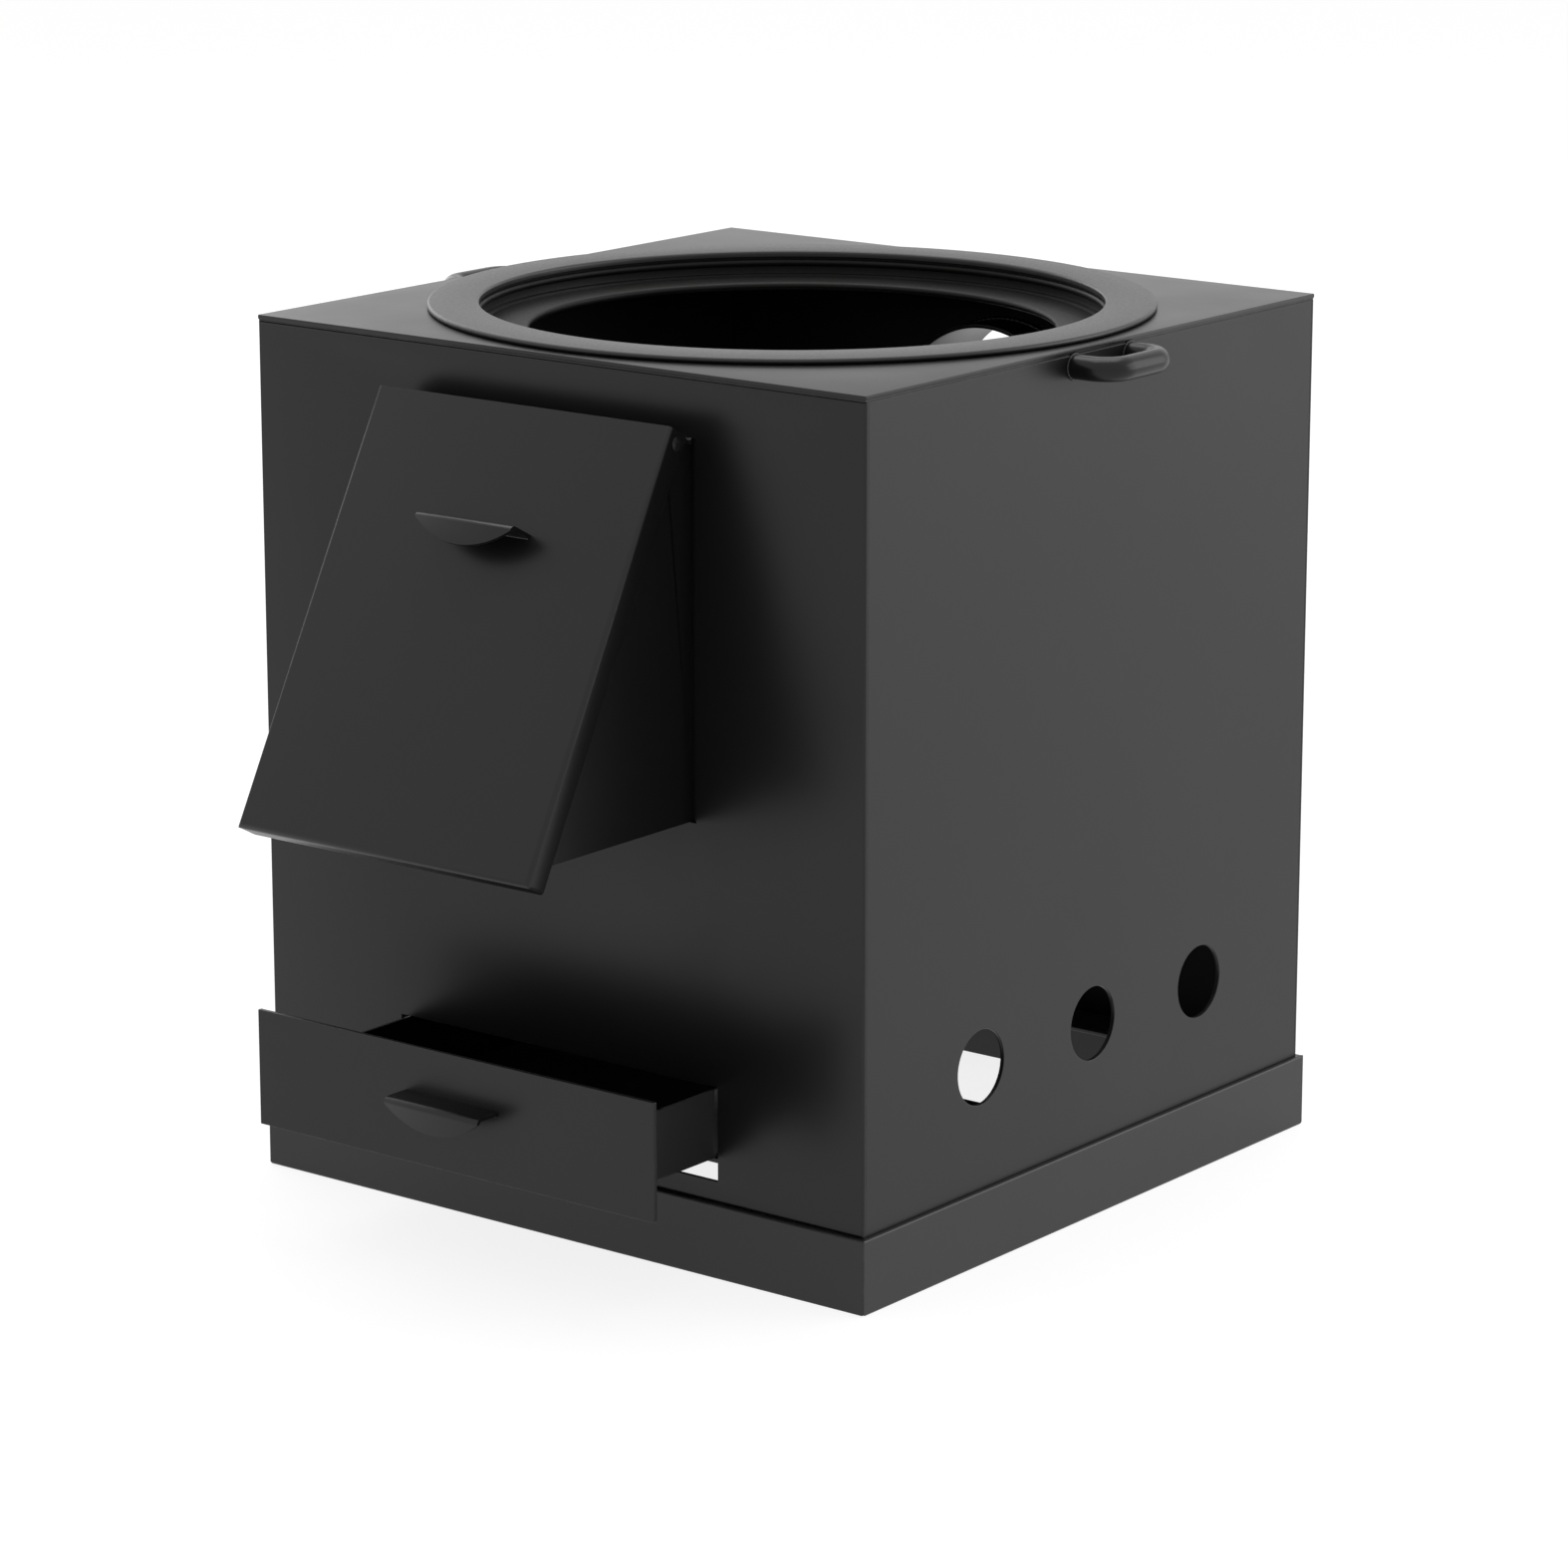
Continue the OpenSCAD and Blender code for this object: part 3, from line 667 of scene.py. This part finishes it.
def makePull(name, mat, body, node, place):
    p = sheetPull
    mesh = bmesh.new()
    radius = (p["width"] ** 2 / 4 + p["lip"] ** 2) / (2 * p["lip"])
    made = bmesh.ops.create_circle(mesh, cap_ends=True, segments=p["arcSides"], radius=radius)["verts"]
    bmesh.ops.translate(mesh, vec=(0, radius - p["thick"] - p["lip"], p["out"]), verts=made)
    bmesh.ops.bisect_plane(mesh, geom=mesh.verts[:] + mesh.edges[:] + mesh.faces[:],
                           plane_co=(0, -p["bend"], 0), plane_no=(0, 1, 0), clear_outer=True)
    chord = [e for e in mesh.edges if all(abs(v.co.y + p["bend"]) < 0.001 for v in e.verts)]
    ends = [v for e in chord for v in e.verts]
    bent = bmesh.ops.spin(mesh, geom=chord + ends, cent=(0, -p["bend"], p["out"] - p["bend"]), axis=(1, 0, 0),
                          angle=-math.pi / 2, steps=p["bendSteps"], use_merge=False)["geom_last"]
    last = [g for g in bent if isinstance(g, bmesh.types.BMEdge)]
    shelf = bmesh.ops.extrude_edge_only(mesh, edges=last)["geom"]
    inner = [g for g in shelf if isinstance(g, bmesh.types.BMVert)]
    bmesh.ops.translate(mesh, vec=(0, 0, p["bend"] - p["out"]), verts=inner)
    bmesh.ops.recalc_face_normals(mesh, faces=mesh.faces)
    face = max(mesh.faces, key=lambda f: len(f.verts))
    if face.normal.z < 0:
        bmesh.ops.reverse_faces(mesh, faces=mesh.faces)
    bmesh.ops.solidify(mesh, geom=mesh.faces[:] + mesh.edges[:] + mesh.verts[:], thickness=p["thick"])
    outer = [e for e in sharpEdges(mesh, crease) if any(v.co.z > 0.1 for v in e.verts)]
    roundOff(mesh, outer, p["edge"], 2)
    finishPiece(name, mesh, mat, body, [node], place)


def onDoorPull():
    return onDoor() @ Matrix.Translation((0, -sheetPull["doorAt"], 0))


def onDrawerPull():
    return Matrix.Translation((0, sheetPull["drawerFace"], sheetPull["drawerAt"])) @ upright


makeChuteDoor()
makePull("doorPull", doorCoat, "door", "door_pull", onDoorPull())
makePull("drawerPull", doorCoat, "drawer", "drawer_pull", onDrawerPull())
print("stove: door and pulls folded")


# ash tray: open box with folded floor edges, which runs on the rails
ashTray = {
    "low": [nodeLow("drawer_tray", axis) for axis in "XYZ"],
    "high": [nodeHigh("drawer_tray", axis) for axis in "XYZ"],
    "thick": 2.0,
    "fold": 2.6,
    "corner": 2.3,
    "edge": 0.35,
    "skin": 1.3,     # nearer to the outside than this is paint, deeper is soot and painted shade
}


def makeAshTray():
    a = ashTray
    mesh = bmesh.new()
    foldedBox(mesh, a["low"], a["high"], [(2, 1)], a["fold"], a["corner"], a["thick"], a["edge"])
    # faces inside the tray take the near-black lining: soot and ash, and painted shade for the dark inside of
    # the tray
    for face in mesh.faces:
        x, y, z = face.calc_center_median()
        depth = min(a["high"][0] - abs(x), y - a["low"][1], a["high"][1] - y, z - a["low"][2])
        face.material_index = 1 if depth > a["skin"] else 0
    finishPiece("ashTray", mesh, [trayCoat, ashSootAndShade], "drawer", ["drawer_tray"])


makeAshTray()
print("stove: ash tray folded")


# carrying handle: a round bar bent at both ends, each leg welded to the wall
carryHandle = {
    "bar": 8.0,
    "reach": 29.0,
    "span": 62.0,
    "bend": 16.0,
    "height": nodeMiddle("handle_right", "Z"),
    "sides": 28,
    "bendSteps": 12,
}


def makeHandle(name, node, mirrored):
    h = carryHandle
    mesh = bmesh.new()
    made = bmesh.ops.create_circle(mesh, cap_ends=True, segments=h["sides"], radius=h["bar"])["verts"]
    bmesh.ops.rotate(mesh, cent=(0, 0, 0), matrix=Matrix.Rotation(math.pi / 2, 3, "Y"), verts=made)
    bmesh.ops.translate(mesh, vec=(walls["half"], -h["span"] / 2, h["height"]), verts=made)
    leg, half = h["reach"] - h["bend"], h["span"] / 2 - h["bend"]  # straight stretches
    tip = pushFaces(mesh, mesh.faces[:], (leg, 0, 0))
    for centre in ((walls["half"] + leg, -half), (walls["half"] + leg, half)):
        rim = [e for f in tip for e in f.edges] + [v for f in tip for v in f.verts]
        bent = bmesh.ops.spin(mesh, geom=tip + rim, cent=(*centre, h["height"]), axis=(0, 0, 1),
                              angle=math.pi / 2, steps=h["bendSteps"], use_merge=False)["geom_last"]
        bmesh.ops.delete(mesh, geom=[f for f in tip if f.is_valid], context="FACES_ONLY")
        tip = [g for g in bent if isinstance(g, bmesh.types.BMFace)]
        if centre[1] < 0:
            tip = pushFaces(mesh, tip, (0, 2 * half, 0), keep=False)
    pushFaces(mesh, tip, (-leg, 0, 0), keep=False)
    bmesh.ops.remove_doubles(mesh, verts=mesh.verts, dist=0.0005)
    if mirrored:
        bmesh.ops.scale(mesh, vec=(-1, 1, 1), verts=mesh.verts)
    bmesh.ops.recalc_face_normals(mesh, faces=mesh.faces)
    finishPiece(name, mesh, handleCoat, "stove", [node])


makeHandle("handleRight", "handle_right", False)
makeHandle("handleLeft", "handle_left", True)
print("stove: carrying handles bent")


# hinge rod with mushroomed ends
hingeRod = {
    "place": (nodeMiddle("hinge_rod", "Y"), nodeMiddle("hinge_rod", "Z")),
    "end": nodeHigh("hinge_rod", "X"),
    "radius": 3.0,
    "headThick": 1.0,
    "dome": [(0.0, 0.0), (1.8, 0.06), (3.2, 0.26), (4.5, 0.62)],  # radius and fall from the end
    "steps": 32,
}


def makeHingeRod():
    h = hingeRod
    shoulder = h["end"] - h["headThick"]
    half = [(radius, h["end"] - fall) for radius, fall in h["dome"]]
    half += [(half[-1][0], shoulder), (h["radius"], shoulder)]
    mesh = bmesh.new()
    turnOutline(mesh, half + [(r, -p) for r, p in reversed(half)], h["steps"], alongX=True)
    place = Matrix.Translation((0, *h["place"]))
    finishPiece("hingeRod", mesh, rodSteel, "stove", ["hinge_rod"], place)


makeHingeRod()


# rippled weld, laid along a line or round a tube
weld = {"pitch": 2.6, "ripple": 0.14, "sides": 10, "neck": 0.8}


def weldLine(mesh, start, end, size):
    start, end = Vector(start), Vector(end)
    run = end - start
    count = max(2, int(run.length / weld["pitch"]))
    made = bmesh.ops.create_circle(mesh, cap_ends=True, segments=weld["sides"],
                                   radius=size * weld["neck"])["verts"]
    turn = run.to_track_quat("Z", "Y").to_matrix().to_4x4()
    bmesh.ops.transform(mesh, matrix=Matrix.Translation(start) @ turn, verts=made)
    tip = list({f for v in made for f in v.link_faces})
    centre = start.copy()
    for k in range(count * 2):
        tip = pushFaces(mesh, tip, run / (count * 2), keep=(k == 0))
        centre = centre + run / (count * 2)
        grow = 1 + weld["ripple"] if k % 2 == 0 else 1 / (1 + weld["ripple"])
        verts = list({v for f in tip for v in f.verts})
        bmesh.ops.scale(mesh, vec=(grow, grow, grow), verts=verts, space=Matrix.Translation(-centre))


# weld all round a tube of the given radius, whose axis is X or Y
def weldRound(mesh, centre, radius, size, axis, ripples):
    turns = [math.radians(a) for a in range(0, 360, 45)]
    outline = [(radius + size * math.cos(a), size * math.sin(a)) for a in turns]
    ring = bmesh.new()
    turnOutline(ring, outline, ripples * 4)
    for vert in ring.verts:
        angle = math.atan2(vert.co.y, vert.co.x)
        swell = 1 + weld["ripple"] * math.cos(angle * ripples)
        flat = vert.co.xy.normalized()
        vert.co.x = flat.x * (radius + (vert.co.xy.length - radius) * swell)
        vert.co.y = flat.y * (radius + (vert.co.xy.length - radius) * swell)
        vert.co.z *= swell
    turn = Matrix.Rotation(math.pi / 2, 4, "Y" if axis == "X" else "X")
    bmesh.ops.transform(ring, matrix=Matrix.Translation(centre) @ turn, verts=ring.verts)
    data = bpy.data.meshes.new("weldLoop")
    ring.to_mesh(data)
    ring.free()
    mesh.from_mesh(data)
    bpy.data.meshes.remove(data)


weldPlaces = {
    "handleSize": 0.9,
    "handleRipples": 18,
    "flueSize": 2.2,
    "flueRipples": 120,
    "proud": 0.4,        # how far a weld's middle stands off its wall
    "pullSize": 1.2,
    "pullEnd": 2.0,      # free end of the seam at either side
    "pullProud": 0.2,
    "tackSize": 2.7,
    "tack": ((111.0, -251.0, 541.3), (116.2, -250.6, 541.6)),  # right-hand one, from end to end
}


def makeWelds():
    w, h, b = weldPlaces, carryHandle, backSheet
    stoveWeld = bmesh.new()
    for side in (-1, 1):
        for end in (-1, 1):
            centre = (side * (walls["half"] + w["proud"]), end * h["span"] / 2, h["height"])
            weldRound(stoveWeld, centre, h["bar"], w["handleSize"], "X", w["handleRipples"])
    for y in (walls["half"] + w["proud"], walls["half"] - walls["thick"] - w["proud"]):
        weldRound(stoveWeld, (0, y, b["flueHeight"]), b["flueRadius"], w["flueSize"], "Y", w["flueRipples"])
    for side in (-1, 1):
        start, end = [(side * x, y, z) for x, y, z in w["tack"]]
        weldLine(stoveWeld, start, end, w["tackSize"])
    finishPiece("stoveWeld", stoveWeld, weldCoat, "stove", sharp=crease)
    half, under = sheetPull["width"] / 2 - w["pullEnd"], -sheetPull["thick"]
    for name, body, slotName, place in (("doorPullWeld", "door", "door_paint", onDoorPull()),
                                        ("drawerPullWeld", "drawer", "drawer_paint", onDrawerPull())):
        seam = bmesh.new()
        weldLine(seam, (-half, under, w["pullProud"]), (half, under, w["pullProud"]), w["pullSize"])
        finishPiece(name, seam, weldCoat, body, place=place, sharp=crease)


makeWelds()
print("stove: welds laid")


# CAD nodes that stay: their loose triangles joined, a small edge round and a finish
dressed = {
    "walls": (wallCoat, 0.0004, ["left_wall", "right_wall"]),  # finish, edge in metres, nodes
    "foot": (footCoat, 0.0012, ["foot_front", "foot_back", "foot_left", "foot_right"]),
    "plates": (doorCoat, 0.0006, ["drawer_front", "chute_cheek_left", "chute_cheek_right"]),
    "flue": (flueCoat, 0.0009, ["flue_collar"]),
    "inside": (innerCoat, 0.0004, ["chute_frame", "chute_floor", "chute_roof", "rail_left", "rail_right",
                                   "rail_cross", "ledge_left", "ledge_right"]),
    "grate": (grateIron, 0.0012, ["grate_front", "grate_back"]),
    "washers": (rodSteel, 0.0003, ["hinge_washers"]),
}
edgeRound = {"join": 0.00002, "segments": 2, "angle": math.radians(40)}


def dress(obj, mat):
    obj.data.materials.clear()
    obj.data.materials.append(mat)


def roundEdges(obj, width):
    join = obj.modifiers.new("weld", "WELD")
    join.merge_threshold = edgeRound["join"]
    bevel = obj.modifiers.new("edge", "BEVEL")
    bevel.width = width
    bevel.segments = edgeRound["segments"]
    bevel.limit_method = "ANGLE"
    bevel.angle_limit = edgeRound["angle"]
    bevel.harden_normals = False


for mat, width, names in dressed.values():
    for name in names:
        dress(nodes[name], mat)
        roundEdges(nodes[name], width)
print("stove: CAD pieces dressed")


# floor, light and camera
studio = {
    "floorSize": 60.0,
    "floorShade": 0.26,   # share of the floor's white that takes a shadow
    "floorGlow": 0.84,
    "floorPlain": 0.8,    # what the floor throws back on the stove
    "worldFill": 0.55,
    "lamps": [
        # name, place, size, watts
        ("topSoftbox", (-0.6, 0.6, 4.2), 3.4, 90.0),
        ("rightSoftbox", (3.3, 2.9, 1.5), 3.4, 62.0),
        ("leftSoftbox", (-4.0, 1.5, 2.0), 2.8, 28.0),
    ],
    "aim": (0.0, 0.0, 0.3),
}


# 1 for camera, mirror and glass rays
def seenWhite(tree):
    path = addNode(tree, "ShaderNodeLightPath")
    seen = combine(tree, "MAXIMUM", path.outputs["Is Camera Ray"], path.outputs["Is Glossy Ray"])
    return combine(tree, "MAXIMUM", seen, path.outputs["Is Transmission Ray"])


def makeFloor():
    mesh = bmesh.new()
    bmesh.ops.create_grid(mesh, x_segments=1, y_segments=1, size=studio["floorSize"] / 2)
    data = bpy.data.meshes.new("floor")
    mesh.to_mesh(data)
    mesh.free()
    floor = bpy.data.objects.new("floor", data)
    scene.collection.objects.link(floor)
    mat, tree, shader = newMaterial("floorWhite")
    tree.nodes.remove(shader)
    out = tree.nodes["Material Output"]
    diffuse = addNode(tree, "ShaderNodeBsdfDiffuse", Color=(*[studio["floorShade"]] * 3, 1))
    white = addNode(tree, "ShaderNodeEmission", Strength=studio["floorGlow"])
    both = addNode(tree, "ShaderNodeAddShader")
    tree.links.new(diffuse.outputs["BSDF"], both.inputs[0])
    tree.links.new(white.outputs["Emission"], both.inputs[1])
    plain = addNode(tree, "ShaderNodeBsdfDiffuse", Color=(*[studio["floorPlain"]] * 3, 1))
    mix = addNode(tree, "ShaderNodeMixShader")
    tree.links.new(seenWhite(tree), mix.inputs["Fac"])
    tree.links.new(plain.outputs["BSDF"], mix.inputs[1])
    tree.links.new(both.outputs["Shader"], mix.inputs[2])
    tree.links.new(mix.outputs["Shader"], out.inputs["Surface"])
    data.materials.append(mat)


def makeWorld():
    world = bpy.data.worlds.new("studio")
    scene.world = world
    world.use_nodes = True
    tree = world.node_tree
    back = tree.nodes["Background"]
    back.inputs["Color"].default_value = (1, 1, 1, 1)
    strength = remap(tree, seenWhite(tree), 0, 1, studio["worldFill"], 1.0)
    tree.links.new(strength, back.inputs["Strength"])


def makeLamps():
    for name, place, size, watts in studio["lamps"]:
        lamp = bpy.data.lights.new(name, "AREA")
        lamp.size = size
        lamp.energy = watts
        obj = bpy.data.objects.new(name, lamp)
        obj.location = place
        aim = Vector(studio["aim"]) - Vector(place)
        obj.rotation_euler = aim.to_track_quat("-Z", "Y").to_euler()
        scene.collection.objects.link(obj)


cameraSetup = {
    "place": (2.2128, -2.8535, 1.1618),
    "turn": (90 - 14.090, 0.0, 37.879),  # degrees
    "lens": 126.01,
    "sensor": 36.0,
    "far": 100.0,
}


def makeCamera():
    data = bpy.data.cameras.new("camera")
    data.lens = cameraSetup["lens"]
    data.sensor_width = cameraSetup["sensor"]
    data.clip_end = cameraSetup["far"]
    camera = bpy.data.objects.new("camera", data)
    camera.location = cameraSetup["place"]
    camera.rotation_euler = [math.radians(a) for a in cameraSetup["turn"]]
    scene.collection.objects.link(camera)
    scene.camera = camera


makeFloor()
makeWorld()
makeLamps()
makeCamera()
scene.view_settings.view_transform = "Standard"
print("stove: floor, lamps and camera placed")
